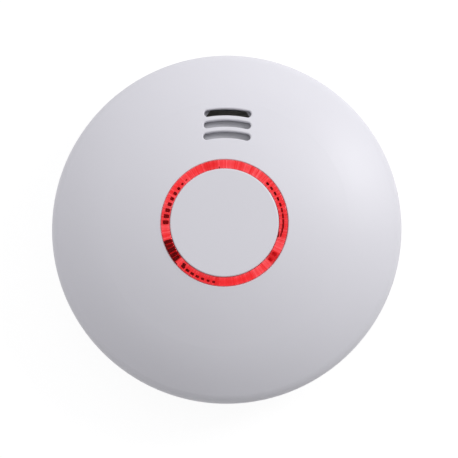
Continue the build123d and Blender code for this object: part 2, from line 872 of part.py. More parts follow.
# ================================================================ horn
def horn_housing():
    """Round cup of the horn, with a ledge for the disc and holes for the contact springs."""
    body = tube(horn_r, horn_r - horn_wall, pcb_top_z, horn_top_z, 0, horn_y)
    body += disc(horn_r, pcb_top_z, pcb_top_z + horn_wall, 0, horn_y)
    body += tube(horn_r - 0.5, disc_ledge_r, pcb_top_z, disc_z, 0, horn_y)
    for x, y in horn_spring_points:
        body -= disc(horn_spring_r + 0.5, pcb_top_z - 1, disc_z + 1, x, horn_y + y)
    return body


def piezo_disc():
    return disc(disc_r, disc_z, disc_z + disc_thick, 0, horn_y)


def piezo_ceramic():
    return disc(
        ceramic_r, disc_z + disc_thick, disc_z + disc_thick + ceramic_thick, 0, horn_y
    )


def horn_springs():
    springs = [
        coil(
            horn_spring_r, horn_spring_wire, pcb_top_z + 0.03, disc_z - 0.03,
            horn_spring_turns, x, horn_y + y,
        )
        for x, y in horn_spring_points
    ]
    return Compound(children=springs)


def horn_seal():
    return tube(
        horn_r, horn_r - horn_wall, horn_top_z, horn_top_z + horn_seal_thick, 0, horn_y
    )


def horn_cap():
    """Lid of the horn with a spout that brings its port right under the sound slots."""
    low = horn_top_z + horn_seal_thick
    inner_r = horn_r - horn_wall - slide_gap
    body = disc(horn_r, low, low + horn_cap_thick, 0, horn_y)
    body += tube(inner_r, inner_r - 1.0, disc_z + 1.0, low + 0.2, 0, horn_y)
    body += block((-spout_half_width, spout_half_width), spout_y, (low, dome_edge_z)) & (
        dome_solid(wall + spout_gap)
    )
    half = spout_half_width - spout_wall
    back, front = spout_y[0] + spout_wall, spout_y[1] - spout_wall
    roof = dome_solid(wall + spout_gap + spout_wall)
    body -= block((-half, half), (back, front), (lip_z, dome_edge_z)) & (
        roof + disc(cover_r - 2 * rim_r, low - 1, lip_z + 5)
    )
    near, far = spout_port_half
    outline = Polyline(
        (-near, spout_port_r - 1), (near, spout_port_r - 1), (far, front), (-far, front),
        close=True,
    )
    port = extrude(Pos(0, 0, low + 1) * make_face(outline), dome_edge_z - low - 1)
    return body - (port - disc(spout_port_r, low, dome_edge_z + 1))


# ================================================================ front cover
def on_circle(centre, radius, slope):
    """Point of a circle where its tangent slopes down by this many radians."""
    return centre[0] + radius * math.sin(slope), centre[1] + radius * math.cos(slope)


def dome_miss(crown_r):
    """How far the shoulder arc ends outside the rim arc for a crown of this radius."""
    crown, shoulder, rim, shoulder_r, _ = arcs_for(crown_r)
    reach = math.hypot(rim[0] - shoulder[0], rim[1] - shoulder[1])
    return reach + rim_r - shoulder_r


def arcs_for(crown_r):
    """Arc centres of a dome whose crown has this radius, the shoulder's radius and slope."""
    crown = (0.0, dome_edge_z - math.sqrt(crown_r**2 - dome_edge_r**2))
    slope = math.asin(shoulder_start_r / crown_r)
    joint = on_circle(crown, crown_r, slope)
    shoulder_r = crown_r * shoulder_tightness
    shoulder = on_circle(joint, -shoulder_r, slope)
    rim = (cover_r - rim_r, lip_z + rim_side)
    return crown, shoulder, rim, shoulder_r, slope


def solved_crown():
    """Crown radius at which the crown, shoulder and rim arcs are tangent, by halving."""
    low, high = shoulder_start_r * 1.05, cover_r * 20
    for _ in range(80):
        middle = (low + high) / 2
        if dome_miss(middle) > 0:
            low = middle
        else:
            high = middle
    return (low + high) / 2


crown_r = solved_crown()


def dome_geometry():
    """Centres and radii of the crown, shoulder and rim arcs, and the slopes where they meet."""
    crown, shoulder, rim, shoulder_r, slope_1 = arcs_for(crown_r)
    slope_2 = math.atan2(rim[0] - shoulder[0], rim[1] - shoulder[1])
    return crown, shoulder, rim, shoulder_r, slope_1, slope_2


def dome_profile(inset, start_r):
    """The dome's section as tangent arcs, moved inwards by inset, from start_r to the rim."""
    crown, shoulder, rim, shoulder_r, slope_1, slope_2 = dome_geometry()
    slope_0 = math.asin(start_r / (crown_r - inset)) if start_r else 0.0
    spans = (
        (crown, crown_r - inset, slope_0, slope_1),
        (shoulder, shoulder_r - inset, slope_1, slope_2),
        (rim, rim_r - inset, slope_2, math.pi / 2),
    )
    arcs = []
    for centre, radius, start, end in spans:
        ends = [on_circle(centre, radius, s) for s in (start, (start + end) / 2, end)]
        arcs.append(ThreePointArc(*ends))
    return arcs


def dome_solid(inset):
    """The dome as a filled solid down to its lip, moved inwards by inset."""
    arcs = dome_profile(inset, 0.0)
    side = Line(arcs[-1] @ 1, (cover_r - inset, lip_z))
    foot = Line((cover_r - inset, lip_z), (0, lip_z))
    axis = Line((0, lip_z), arcs[0] @ 0)
    return revolve(Plane.XZ * make_face(arcs + [side, foot, axis]), Axis.Z)


def sound_slot(radius, width, low, high):
    half = math.degrees((slot_length - width) / 2 / radius)
    arc = CenterArc((0, 0), radius, 90 - half, 2 * half)
    return extrude(Pos(0, 0, low) * SlotArc(arc, width), high - low)


def front_cover():
    """Domed cover with the ring's seat, three sound slots, an inlet shelf and screw bosses."""
    outer = dome_solid(0)
    body = outer - dome_solid(wall)
    body = fillet(body.edges().group_by(Axis.Z)[0].sort_by(SortBy.RADIUS)[-1:], lip_round)
    body += tube(cover_r - wall / 2, shelf_inner_r, lip_z, lip_z + shelf_thick)
    seat = tube(ring_flange_r + 1.4, dome_edge_r, ring_seat_z, dome_edge_z + 1)
    collar = tube(ring_flange_r + 1.4, ring_flange_r + 0.2, ring_flange_z, dome_edge_z + 1)
    body += (seat + collar) & outer
    bosses = []
    for x, y in case_screw_points():
        bosses.append(disc(case_boss_r, pcb_z + seat_gap, dome_edge_z, x, y))
    body += (Part() + bosses) & outer_envelope()
    body -= disc(dome_edge_r, pcb_z, overall_height + cover_r)
    body -= disc(ring_flange_r + 0.2, ring_flange_z - 1, ring_seat_z)
    opening = [
        e for e in body.edges()
        if all(
            abs(math.hypot((e @ t).X, (e @ t).Y) - dome_edge_r) < 0.01
            and (e @ t).Z > ring_seat_z + 1
            for t in (0.0, 0.3, 0.7, 1.0)
        )
    ]
    body = fillet(opening, dome_edge_round)
    slots = [sound_slot(r, slot_width, lip_z, overall_height) for r in slot_radii]
    body -= slots
    rims = [
        e for e in body.edges()
        if e.center().Z > 0.5 * (lip_z + dome_edge_z)
        and abs(math.hypot(e.center().X, e.center().Y) - sum(slot_radii) / 3) < 9
        and e.center().Y > 0
        and on_outer_surface(e)
    ]
    body = fillet(rims, slot_edge_round)
    for x, y in case_screw_points():
        body -= disc(
            case_screw_r + thread_gap, pcb_z - 1, pcb_z + seat_gap + case_pilot_depth, x, y
        )
    return body


def outer_envelope():
    """The dome's outer shape carried down to the board, which trims the screw bosses."""
    return dome_solid(0.5) + disc(cover_r - wall, pcb_z - 1, lip_z + 1)


def on_outer_surface(edge):
    """True where the whole edge lies on the dome's outer surface."""
    crown, shoulder, _, shoulder_r, _, _ = dome_geometry()
    for t in (0.0, 0.5, 1.0):
        p = edge @ t
        r = math.hypot(p.X, p.Y)
        centre, radius = (crown, crown_r) if r < shoulder_start_r else (shoulder, shoulder_r)
        if abs(math.hypot(r - centre[0], p.Z - centre[1]) - radius) > 0.02:
            return False
    return True


def case_screws():
    """Three self-tapping screws that pull the dome onto the base."""
    screws = []
    low = floor_z + case_head_sink
    for x, y in case_screw_points():
        head = disc(case_head_r, low, low + case_head_height, x, y)
        head = fillet(head.edges().group_by(Axis.Z)[0], 0.6)
        shank = disc(case_screw_r, low + 0.5, pcb_z + case_pilot_depth - 0.5, x, y)
        recess = Box(3.0, 0.7, 1.2, align=BOTTOM) + Box(0.7, 3.0, 1.2, align=BOTTOM)
        screws.append(head + shank - Pos(x, y, low - 0.2) * recess)
    return Compound(children=screws)


# ================================================================ light ring and test button
def light_ring():
    """Clear red ring with a flange under the dome and two legs that catch the lamps' light."""
    body = tube(ring_outer_r, ring_inner_r, ring_bottom_z, ring_top_z)
    body = fillet(body.edges().group_by(Axis.Z)[-1], ring_edge_round)
    body += tube(ring_flange_r, ring_outer_r - 1.0, ring_flange_z, ring_seat_z)
    thick, width = light_leg_size
    lamp_top = pcb_top_z + 1.9
    for angle in light_leg_angles:
        body += radial_block(
            light_leg_r - thick / 2, light_leg_r + thick / 2, width,
            lamp_top + 0.3, ring_flange_z + 0.3, angle,
        )
    prism = radial_block(
        light_prism_r - light_prism_size / 2, light_prism_r + light_prism_size / 2,
        light_prism_size, ring_bottom_z - 1, ring_bottom_z + light_prism_size, 0,
    )
    step = 360 / light_prism_count
    return body - [Rot(0, 0, i * step) * prism for i in range(light_prism_count)]


def button_plate_solid():
    """Slightly crowned top plate of the button."""
    edge_z = button_top_z - button_crown
    half = button_r / 2
    rise = button_crown * (1 - (half / button_r) ** 2)
    top = ThreePointArc((0, button_top_z), (half, edge_z + rise), (button_r, edge_z))
    side = Line(top @ 1, (button_r, button_under_z))
    under = Line(side @ 1, (0, button_under_z))
    axis = Line(under @ 1, top @ 0)
    section = make_face([top, side, under, axis])
    corner = section.vertices().sort_by_distance((button_r, edge_z, 0))[0]
    return revolve(Plane.XZ * fillet(corner, button_edge_round), Axis.Z)


def test_button():
    """Button cap with a skirt, three hooks under the light ring and an arm to the switch."""
    skirt_inner = button_r - button_skirt_wall
    body = button_plate_solid()
    body += tube(button_r, skirt_inner, button_skirt_z, button_under_z + 0.2)
    hook_top = ring_bottom_z - 0.1
    hook_low = hook_top - button_hook_thick
    for angle in hook_angles:
        start, end = angle - button_hook_half_angle, angle + button_hook_half_angle
        body += sector(
            skirt_inner, ring_inner_r + button_hook_reach, hook_low, hook_top, start, end
        )
        body += sector(skirt_inner, button_r, hook_low, button_skirt_z + 0.2, start, end)
    arm_top = ring_flange_z - 0.2
    arm_low = arm_top - arm_thick
    body += radial_block(skirt_inner - 0.5, arm_reach_r, arm_width, arm_low, arm_top, arm_angle)
    body += sector(
        skirt_inner, button_r, arm_low, button_skirt_z + 0.2, arm_angle - 8, arm_angle + 8
    )
    x, y = polar(switch_r, arm_angle)
    body += disc(plunger_leg_r, switch_top_z + switch_rest_gap, arm_top - 0.2, x, y)
    ring = button_spring_r + button_spring_wire / 2
    body += tube(ring + 1.3, ring + slide_gap, button_under_z - 2.0, button_under_z + 0.2)
    return body


def button_spring():
    """Return spring between the chamber's spigot and the underside of the button."""
    return coil(
        button_spring_r, button_spring_wire, chamber_top_z + 0.03, button_under_z - 0.03,
        button_spring_turns,
    )


# ================================================================ label
def rear_label():
    """Blank rating plate on the back of the base."""
    return rounded_block(
        *label_size, 2.0, floor_z - label_thick, floor_z, 0, label_y
    )


# ================================================================ export
parts = {
    "mounting_bracket": mounting_bracket,
    "base_housing": base_housing,
    "battery_door": battery_door,
    "door_hinge_pin": door_hinge_pin,
    "battery_cell": battery_cell,
    "battery_sleeve": battery_sleeve,
    "battery_contact_positive": battery_contact_positive,
    "battery_contact_negative": battery_contact_negative,
    "battery_spring": battery_spring,
    "main_pcb": main_pcb,
    "solder_joints": solder_joints,
    "microcontroller": microcontroller,
    "horn_driver_chip": horn_driver_chip,
    "electrolytic_capacitors": electrolytic_capacitors,
    "horn_coil": horn_coil,
    "programming_header": programming_header,
    "crystal_resonator": crystal_resonator,
    "smd_components": smd_components,
    "test_switch_body": test_switch_body,
    "test_switch_cap": test_switch_cap,
    "indicator_leds": indicator_leds,
    "pcb_screws": pcb_screws,
    "infrared_emitter": infrared_emitter,
    "photodiode": photodiode,
    "photodiode_shield": photodiode_shield,
    "chamber_base": chamber_base,
    "chamber_cap": chamber_cap,
    "insect_screen": insect_screen,
    "horn_housing": horn_housing,
    "piezo_disc": piezo_disc,
    "piezo_ceramic": piezo_ceramic,
    "horn_springs": horn_springs,
    "horn_seal": horn_seal,
    "horn_cap": horn_cap,
    "front_cover": front_cover,
    "case_screws": case_screws,
    "light_ring": light_ring,
    "test_button": test_button,
    "button_spring": button_spring,
    "rear_label": rear_label,
}

os.makedirs("parts", exist_ok=True)
for name, build in parts.items():
    export_step(build(), f"parts/{name}.step")
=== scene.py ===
import json
import math

import bmesh
import bpy
import numpy as np
from mathutils import Matrix, Vector


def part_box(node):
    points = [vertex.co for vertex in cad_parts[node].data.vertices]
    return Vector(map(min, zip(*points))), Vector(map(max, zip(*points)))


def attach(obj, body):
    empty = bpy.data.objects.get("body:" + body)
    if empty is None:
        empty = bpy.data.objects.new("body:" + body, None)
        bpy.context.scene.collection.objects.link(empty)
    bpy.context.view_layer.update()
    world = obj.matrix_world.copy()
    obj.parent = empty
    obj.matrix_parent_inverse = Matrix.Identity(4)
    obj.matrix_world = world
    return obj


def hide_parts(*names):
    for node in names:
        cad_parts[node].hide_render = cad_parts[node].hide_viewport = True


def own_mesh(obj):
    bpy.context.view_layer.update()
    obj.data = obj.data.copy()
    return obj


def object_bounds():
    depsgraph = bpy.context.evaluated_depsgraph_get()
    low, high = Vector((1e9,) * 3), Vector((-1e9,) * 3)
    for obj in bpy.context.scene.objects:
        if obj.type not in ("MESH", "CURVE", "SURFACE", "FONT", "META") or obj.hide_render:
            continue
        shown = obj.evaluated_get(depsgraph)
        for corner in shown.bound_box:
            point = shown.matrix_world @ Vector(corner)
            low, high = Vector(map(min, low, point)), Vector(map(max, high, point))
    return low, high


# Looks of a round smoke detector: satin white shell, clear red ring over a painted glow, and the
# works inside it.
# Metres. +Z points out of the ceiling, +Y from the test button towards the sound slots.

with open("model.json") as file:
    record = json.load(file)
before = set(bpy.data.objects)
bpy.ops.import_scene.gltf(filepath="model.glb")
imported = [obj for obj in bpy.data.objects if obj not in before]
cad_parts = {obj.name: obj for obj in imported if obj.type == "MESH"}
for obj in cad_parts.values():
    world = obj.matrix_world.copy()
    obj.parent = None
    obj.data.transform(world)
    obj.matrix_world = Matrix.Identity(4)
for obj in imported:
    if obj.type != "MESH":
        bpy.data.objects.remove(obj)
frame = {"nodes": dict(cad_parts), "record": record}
cad_low, cad_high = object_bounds()
MM = 0.001

# ---------------------------------------------------------------- light and camera
SKY_LEVEL = 0.39                      # even part of the studio's light
SKY_LEAN = (-0.13, 0.44, 0.35)        # how much more light comes from +X, +Y and +Z
KEY_WATTS = 5.2                       # soft lamp at the upper right
KEY_AZIMUTH, KEY_ELEVATION = 30.0, 32.0
KEY_DISTANCE, KEY_SIZE = 1.1, 0.35

VIEW_DISTANCE = 0.700
VIEW_TILT = 5.97                      # degrees off the button's axis
VIEW_SIDE = 290.2                     # the side that the camera leans to, from +X
VIEW_ROLL = 1.4                       # degrees the camera turns about its own line of sight
VIEW_TARGET = (0.0, 0.0, 0.0177)
LENS, SENSOR = 160.3, 36.0
VIEW_SHIFT = (0.0058, -0.0014)

FLOOR_RADIUS = 3.0
FLOOR_RINGS, FLOOR_SIDES = 24, 96

# ---------------------------------------------------------------- light ring
RING_INNER, RING_OUTER = 18.35 * MM, 21.20 * MM
RING_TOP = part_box("light_ring")[1].z
LAYER_DEPTH = 1.0 * MM                # middle of the painted glow layer, below the ring's top
LAYER_HALF_HEIGHT = 0.25 * MM
LAYER_INSET = 0.04 * MM               # from the ring's walls to the layer inside it
POCKET_DEPTH = 0.72 * MM              # middle of the pockets, just over the layer
POCKET_HALF_HEIGHT = 0.05 * MM

# ---------------------------------------------------------------- spring and board
SPRING_RADIUS, SPRING_WIRE, SPRING_TURNS = 3.7 * MM, 0.5 * MM, 6.5
SPRING_END = 0.13                     # share of the spring's length in each flat end
BOARD_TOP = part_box("main_pcb")[1].z
CHIP_LEAD = 1.28 * MM                 # how far a chip's leads stand out of its body
SLEEVE_BAND = 6.5 * MM                # silver band at the cell's positive end


# ================================================================ node helpers
def add(tree, kind, **settings):
    """A node of this kind with these settings."""
    node = tree.nodes.new(kind)
    for key, value in settings.items():
        setattr(node, key, value)
    return node


def feed(tree, source, target):
    """Links an output, or sets a plain value, on an input."""
    if hasattr(source, "is_linked"):
        tree.links.new(source, target)
    else:
        target.default_value = source


def sums(tree, operation, *terms):
    """Result of a Math node on these terms."""
    node = add(tree, "ShaderNodeMath", operation=operation)
    for socket, term in zip(node.inputs, terms):
        feed(tree, term, socket)
    return node.outputs[0]


def blend_colours(tree, mask, low, high):
    """Colour that goes from low to high with the mask."""
    node = add(tree, "ShaderNodeMix", data_type="RGBA")
    feed(tree, mask, node.inputs[0])
    for socket, colour in ((node.inputs[6], low), (node.inputs[7], high)):
        if isinstance(colour, tuple):
            colour = (*colour, 1.0) if len(colour) == 3 else colour
        feed(tree, colour, socket)
    return node.outputs[2]


def noise(tree, vector, scale, detail=2.0):
    """Smooth noise from 0 to 1 at this place."""
    node = add(tree, "ShaderNodeTexNoise")
    feed(tree, vector, node.inputs["Vector"])
    feed(tree, scale, node.inputs["Scale"])
    node.inputs["Detail"].default_value = detail
    return node.outputs["Fac"]


def spread(tree, value, low, high, new_low=0.0, new_high=1.0):
    """Value carried from one range to another, held at its ends."""
    node = add(tree, "ShaderNodeMapRange")
    for socket, term in zip(node.inputs, (value, low, high, new_low, new_high)):
        feed(tree, term, socket)
    return node.outputs[0]


def split(tree, vector):
    """The three components of a vector."""
    node = add(tree, "ShaderNodeSeparateXYZ")
    feed(tree, vector, node.inputs[0])
    return node.outputs


def new_group(name, inputs, outputs):
    """Empty shader group with these named inputs and outputs."""
    group = bpy.data.node_groups.new(name, "ShaderNodeTree")
    for label, kind, value in inputs:
        socket = group.interface.new_socket(label, in_out="INPUT", socket_type=kind)
        if value is not None:
            socket.default_value = value
    for label, kind in outputs:
        group.interface.new_socket(label, in_out="OUTPUT", socket_type=kind)
    return group, group.nodes.new("NodeGroupInput"), group.nodes.new("NodeGroupOutput")


def place_group(tree, group, **values):
    """The group in a material, with values or links for its inputs."""
    node = add(tree, "ShaderNodeGroup", node_tree=group)
    for label, value in values.items():
        feed(tree, value, node.inputs[label.replace("_", " ")])
    return node.outputs


# ================================================================ shared effects
FLOAT, COLOUR, VECTOR = "NodeSocketFloat", "NodeSocketColor", "NodeSocketVector"


def moulded_finish_group():
    """Slow patches of shade and gloss over a fine moulded grain."""
    group, inp, out = new_group(
        "moulded_finish",
        [
            ("Place", VECTOR, None), ("Colour", COLOUR, (0.8, 0.8, 0.8, 1.0)),
            ("Patch Scale", FLOAT, 60.0), ("Patch Shade", FLOAT, 0.03),
            ("Grain Scale", FLOAT, 4000.0), ("Roughness", FLOAT, 0.5),
            ("Roughness Spread", FLOAT, 0.05),
        ],
        [("Colour", COLOUR), ("Roughness", FLOAT), ("Height", FLOAT)],
    )
    place = inp.outputs["Place"]
    patch = noise(group, place, inp.outputs["Patch Scale"], 4.0)
    patch = spread(group, patch, 0.3, 0.7, -0.5, 0.5)
    grain = noise(group, place, inp.outputs["Grain Scale"], 3.0)
    level = sums(group, "MULTIPLY_ADD", patch, inp.outputs["Patch Shade"], 1.0)
    fleck = spread(group, grain, 0.3, 0.7, -0.25, 0.25)
    level = sums(group, "MULTIPLY_ADD", fleck, inp.outputs["Patch Shade"], level)
    shade = add(group, "ShaderNodeVectorMath", operation="SCALE")
    feed(group, inp.outputs["Colour"], shade.inputs[0])
    feed(group, level, shade.inputs["Scale"])
    rough = sums(
        group, "MULTIPLY_ADD", patch, inp.outputs["Roughness Spread"], inp.outputs["Roughness"]
    )
    feed(group, shade.outputs[0], out.inputs["Colour"])
    feed(group, rough, out.inputs["Roughness"])
    feed(group, grain, out.inputs["Height"])
    return group


def drawn_metal_group():
    """Fine parallel lines left by rolling or drawing, over a slow tarnish."""
    group, inp, out = new_group(
        "drawn_metal",
        [
            ("Place", VECTOR, None), ("Lines", VECTOR, (1.0, 12.0, 1.0)),
            ("Colour", COLOUR, (0.6, 0.6, 0.6, 1.0)), ("Tarnish", COLOUR, (0.4, 0.38, 0.34, 1.0)),
            ("Tarnish Amount", FLOAT, 0.3), ("Line Scale", FLOAT, 900.0),
            ("Roughness", FLOAT, 0.3),
        ],
        [("Colour", COLOUR), ("Roughness", FLOAT), ("Height", FLOAT)],
    )
    stretch = add(group, "ShaderNodeVectorMath", operation="MULTIPLY")
    feed(group, inp.outputs["Place"], stretch.inputs[0])
    feed(group, inp.outputs["Lines"], stretch.inputs[1])
    lines = noise(group, stretch.outputs[0], inp.outputs["Line Scale"], 3.0)
    cloud = noise(group, inp.outputs["Place"], 240.0, 5.0)
    cloud = spread(group, cloud, 0.45, 0.75, 0.0, inp.outputs["Tarnish Amount"])
    colour = blend_colours(group, cloud, inp.outputs["Colour"], inp.outputs["Tarnish"])
    feed(group, colour, out.inputs["Colour"])
    rough = sums(group, "MULTIPLY_ADD", lines, 0.16, inp.outputs["Roughness"])
    rough = sums(group, "MULTIPLY_ADD", cloud, 0.3, sums(group, "SUBTRACT", rough, 0.08))
    feed(group, rough, out.inputs["Roughness"])
    feed(group, lines, out.inputs["Height"])
    return group


def settled_dust_group():
    """Thin dust on faces that look up, thicker in slow drifts."""
    group, inp, out = new_group(
        "settled_dust",
        [
            ("Place", VECTOR, None), ("Colour", COLOUR, (0.5, 0.5, 0.5, 1.0)),
            ("Roughness", FLOAT, 0.5), ("Amount", FLOAT, 0.2),
        ],
        [("Colour", COLOUR), ("Roughness", FLOAT)],
    )
    facing = split(group, add(group, "ShaderNodeNewGeometry").outputs["Normal"])[2]
    up = spread(group, facing, 0.2, 0.95)
    drift = spread(group, noise(group, inp.outputs["Place"], 900.0, 6.0), 0.4, 0.7)
    mask = sums(group, "MULTIPLY", sums(group, "MULTIPLY", up, drift), inp.outputs["Amount"])
    feed(
        group, blend_colours(group, mask, inp.outputs["Colour"], (0.42, 0.40, 0.37)),
        out.inputs["Colour"],
    )
    rough = sums(group, "MULTIPLY_ADD", mask, 0.4, inp.outputs["Roughness"])
    feed(group, rough, out.inputs["Roughness"])
    return group


MOULDED = moulded_finish_group()
DRAWN = drawn_metal_group()
DUST = settled_dust_group()


# ================================================================ materials
def blank_material(name, **sockets):
    """Material with one Principled shader; its plain values are set on the shader's sockets."""
    material = bpy.data.materials.new(name)
    material.use_nodes = True
    tree = material.node_tree
    tree.nodes.clear()
    shader = add(tree, "ShaderNodeBsdfPrincipled")
    output = add(tree, "ShaderNodeOutputMaterial")
    tree.links.new(shader.outputs[0], output.inputs[0])
    for label, value in sockets.items():
        shader.inputs[label.replace("_", " ")].default_value = value
    place = add(tree, "ShaderNodeTexCoord").outputs["Object"]
    return material, tree, shader, place


def raise_relief(tree, shader, height, distance):
    """Bump on the shader's normal, as deep as the distance where the height is 1."""
    bump = add(tree, "ShaderNodeBump")
    bump.inputs["Distance"].default_value = distance
    bump.inputs["Strength"].default_value = 1.0
    feed(tree, height, bump.inputs["Height"])
    feed(tree, bump.outputs[0], shader.inputs["Normal"])


def plastic(
    name, colour, roughness, patch_shade, patch_scale, grain_scale, grain_depth, dust=0.0,
    **sockets
):
    """Moulded plastic with grain, and dust where it lies inside the case."""
    material, tree, shader, place = blank_material(name, **sockets)
    finish = place_group(
        tree, MOULDED, Place=place, Colour=(*colour, 1.0), Patch_Scale=patch_scale,
        Patch_Shade=patch_shade, Grain_Scale=grain_scale, Roughness=roughness,
        Roughness_Spread=0.08,
    )
    shade, rough = finish["Colour"], finish["Roughness"]
    if dust:
        shade, rough = place_group(
            tree, DUST, Place=place, Colour=shade, Roughness=rough, Amount=dust
        )
    feed(tree, shade, shader.inputs["Base Color"])
    feed(tree, rough, shader.inputs["Roughness"])
    raise_relief(tree, shader, finish["Height"], grain_depth)
    return material


def metal(name, colour, tarnish, roughness, lines=(1.0, 12.0, 1.0), line_scale=900.0):
    """Rolled, drawn or plated metal."""
    material, tree, shader, place = blank_material(name, Metallic=1.0)
    finish = place_group(
        tree, DRAWN, Place=place, Lines=lines, Colour=(*colour, 1.0), Tarnish=(*tarnish, 1.0),
        Tarnish_Amount=0.35, Line_Scale=line_scale, Roughness=roughness,
    )
    feed(tree, finish["Colour"], shader.inputs["Base Color"])
    feed(tree, finish["Roughness"], shader.inputs["Roughness"])
    raise_relief(tree, shader, finish["Height"], 0.003 * MM)
    return material


def two_part(name, body, trim, mask_of, **sockets):
    """Body finish with a metal or plain trim where the mask is 1.

    body and trim are (colour, roughness, metallic)."""
    material, tree, shader, place = blank_material(name, **sockets)
    mask = mask_of(tree, place)
    finish = place_group(
        tree, MOULDED, Place=place, Colour=(*body[0], 1.0), Patch_Scale=300.0,
        Patch_Shade=0.2, Grain_Scale=6000.0, Roughness=body[1], Roughness_Spread=0.12,
    )
    plated = place_group(
        tree, DRAWN, Place=place, Lines=(1.0, 1.0, 8.0), Colour=(*trim[0], 1.0),
        Tarnish=tuple(0.7 * c for c in trim[0]) + (1.0,), Tarnish_Amount=0.5,
        Line_Scale=1500.0, Roughness=trim[1],
    )
    shade = blend_colours(tree, mask, finish["Colour"], plated["Colour"])
    drop = sums(tree, "SUBTRACT", plated["Roughness"], finish["Roughness"])
    rough = sums(tree, "MULTIPLY_ADD", mask, drop, finish["Roughness"])
    shade, rough = place_group(tree, DUST, Place=place, Colour=shade, Roughness=rough, Amount=0.15)
    feed(tree, shade, shader.inputs["Base Color"])
    feed(tree, rough, shader.inputs["Roughness"])
    feed(tree, spread(tree, mask, 0.0, 1.0, body[2], trim[2]), shader.inputs["Metallic"])
    raise_relief(tree, shader, finish["Height"], 0.006 * MM)
    return material


def beyond(axis, centre, half):
    """Mask of what lies further than half from a centre, along one axis."""
    def mask(tree, place):
        along = sums(tree, "SUBTRACT", split(tree, place)[axis], centre)
        return sums(tree, "GREATER_THAN", sums(tree, "ABSOLUTE", along), half)
    return mask


def above(height):
    """Mask of what lies over a height."""
    def mask(tree, place):
        return sums(tree, "GREATER_THAN", split(tree, place)[2], height)
    return mask


def can_top_or_lead(tree, place):
    """Mask of a capacitor's bare metal: its flat top, and its leads below the board."""
    facing = split(tree, add(tree, "ShaderNodeNewGeometry").outputs["Normal"])[2]
    top = sums(tree, "GREATER_THAN", facing, 0.9)
    low = sums(tree, "LESS_THAN", split(tree, place)[2], BOARD_TOP + 0.15 * MM)
    return sums(tree, "MAXIMUM", top, low)


def board_material():
    """Green mask over copper tracks: the joints of two crossed brick patterns, with bare edges."""
    material, tree, shader, place = blank_material("board_mask", Coat_Weight=0.3)
    tracks = None
    for size, turn in ((420.0, 0.0), (230.0, math.pi / 2)):
        turned = add(tree, "ShaderNodeMapping")
        feed(tree, place, turned.inputs["Vector"])
        turned.inputs["Rotation"].default_value = (0.0, 0.0, turn)
        lanes = add(tree, "ShaderNodeTexBrick", offset=0.37, squash=1.0)
        feed(tree, turned.outputs[0], lanes.inputs["Vector"])
        for label, value in (
            ("Scale", size), ("Mortar Size", 0.045), ("Brick Width", 2.6), ("Row Height", 0.35),
        ):
            lanes.inputs[label].default_value = value
        lane = lanes.outputs["Fac"]
        tracks = lane if tracks is None else sums(tree, "MAXIMUM", tracks, lane)
    patches = spread(tree, noise(tree, place, 90.0, 2.0), 0.46, 0.5)
    tracks = sums(tree, "MULTIPLY", tracks, patches)
    finish = place_group(
        tree, MOULDED, Place=place, Colour=(0.012, 0.105, 0.042, 1.0), Patch_Scale=150.0,
        Patch_Shade=0.3, Grain_Scale=2600.0, Roughness=0.34, Roughness_Spread=0.15,
    )
    shade = blend_colours(tree, tracks, finish["Colour"], (0.035, 0.24, 0.09))
    facing = split(tree, add(tree, "ShaderNodeNewGeometry").outputs["Normal"])[2]
    edge = sums(tree, "LESS_THAN", sums(tree, "ABSOLUTE", facing), 0.5)
    shade = blend_colours(tree, edge, shade, (0.36, 0.33, 0.16))
    shade, rough = place_group(
        tree, DUST, Place=place, Colour=shade, Roughness=finish["Roughness"], Amount=0.2
    )
    feed(tree, shade, shader.inputs["Base Color"])
    feed(tree, rough, shader.inputs["Roughness"])
    relief = sums(tree, "MULTIPLY_ADD", tracks, 4.0, finish["Height"])
    raise_relief(tree, shader, relief, 0.008 * MM)
    return material


def ring_material():
    """Clear red acrylic with faint flow lines; the painted glow layer shows through it."""
    material, tree, shader, place = blank_material(
        "clear_red_acrylic", Transmission_Weight=1.0, IOR=1.40,
        Specular_Tint=(1.0, 0.15, 0.16, 1.0),
    )
    drift = spread(tree, noise(tree, place, 500.0, 2.0), 0.3, 0.7)
    feed(
        tree, blend_colours(tree, drift, (1.0, 0.10, 0.11), (1.0, 0.13, 0.14)),
        shader.inputs["Base Color"],
    )
    feed(tree, spread(tree, drift, 0.0, 1.0, 0.04, 0.09), shader.inputs["Roughness"])
    raise_relief(tree, shader, noise(tree, place, 2200.0, 2.0), 0.004 * MM)
    return material


def streaks_round(tree, place, pitch):
    """Noise that is the same all along a radius and changes round the axis."""
    flat = add(tree, "ShaderNodeVectorMath", operation="MULTIPLY")
    feed(tree, place, flat.inputs[0])
    flat.inputs[1].default_value = (1.0, 1.0, 0.0)
    unit = add(tree, "ShaderNodeVectorMath", operation="NORMALIZE")
    feed(tree, flat.outputs[0], unit.inputs[0])
    return noise(tree, unit.outputs[0], pitch, 3.0)


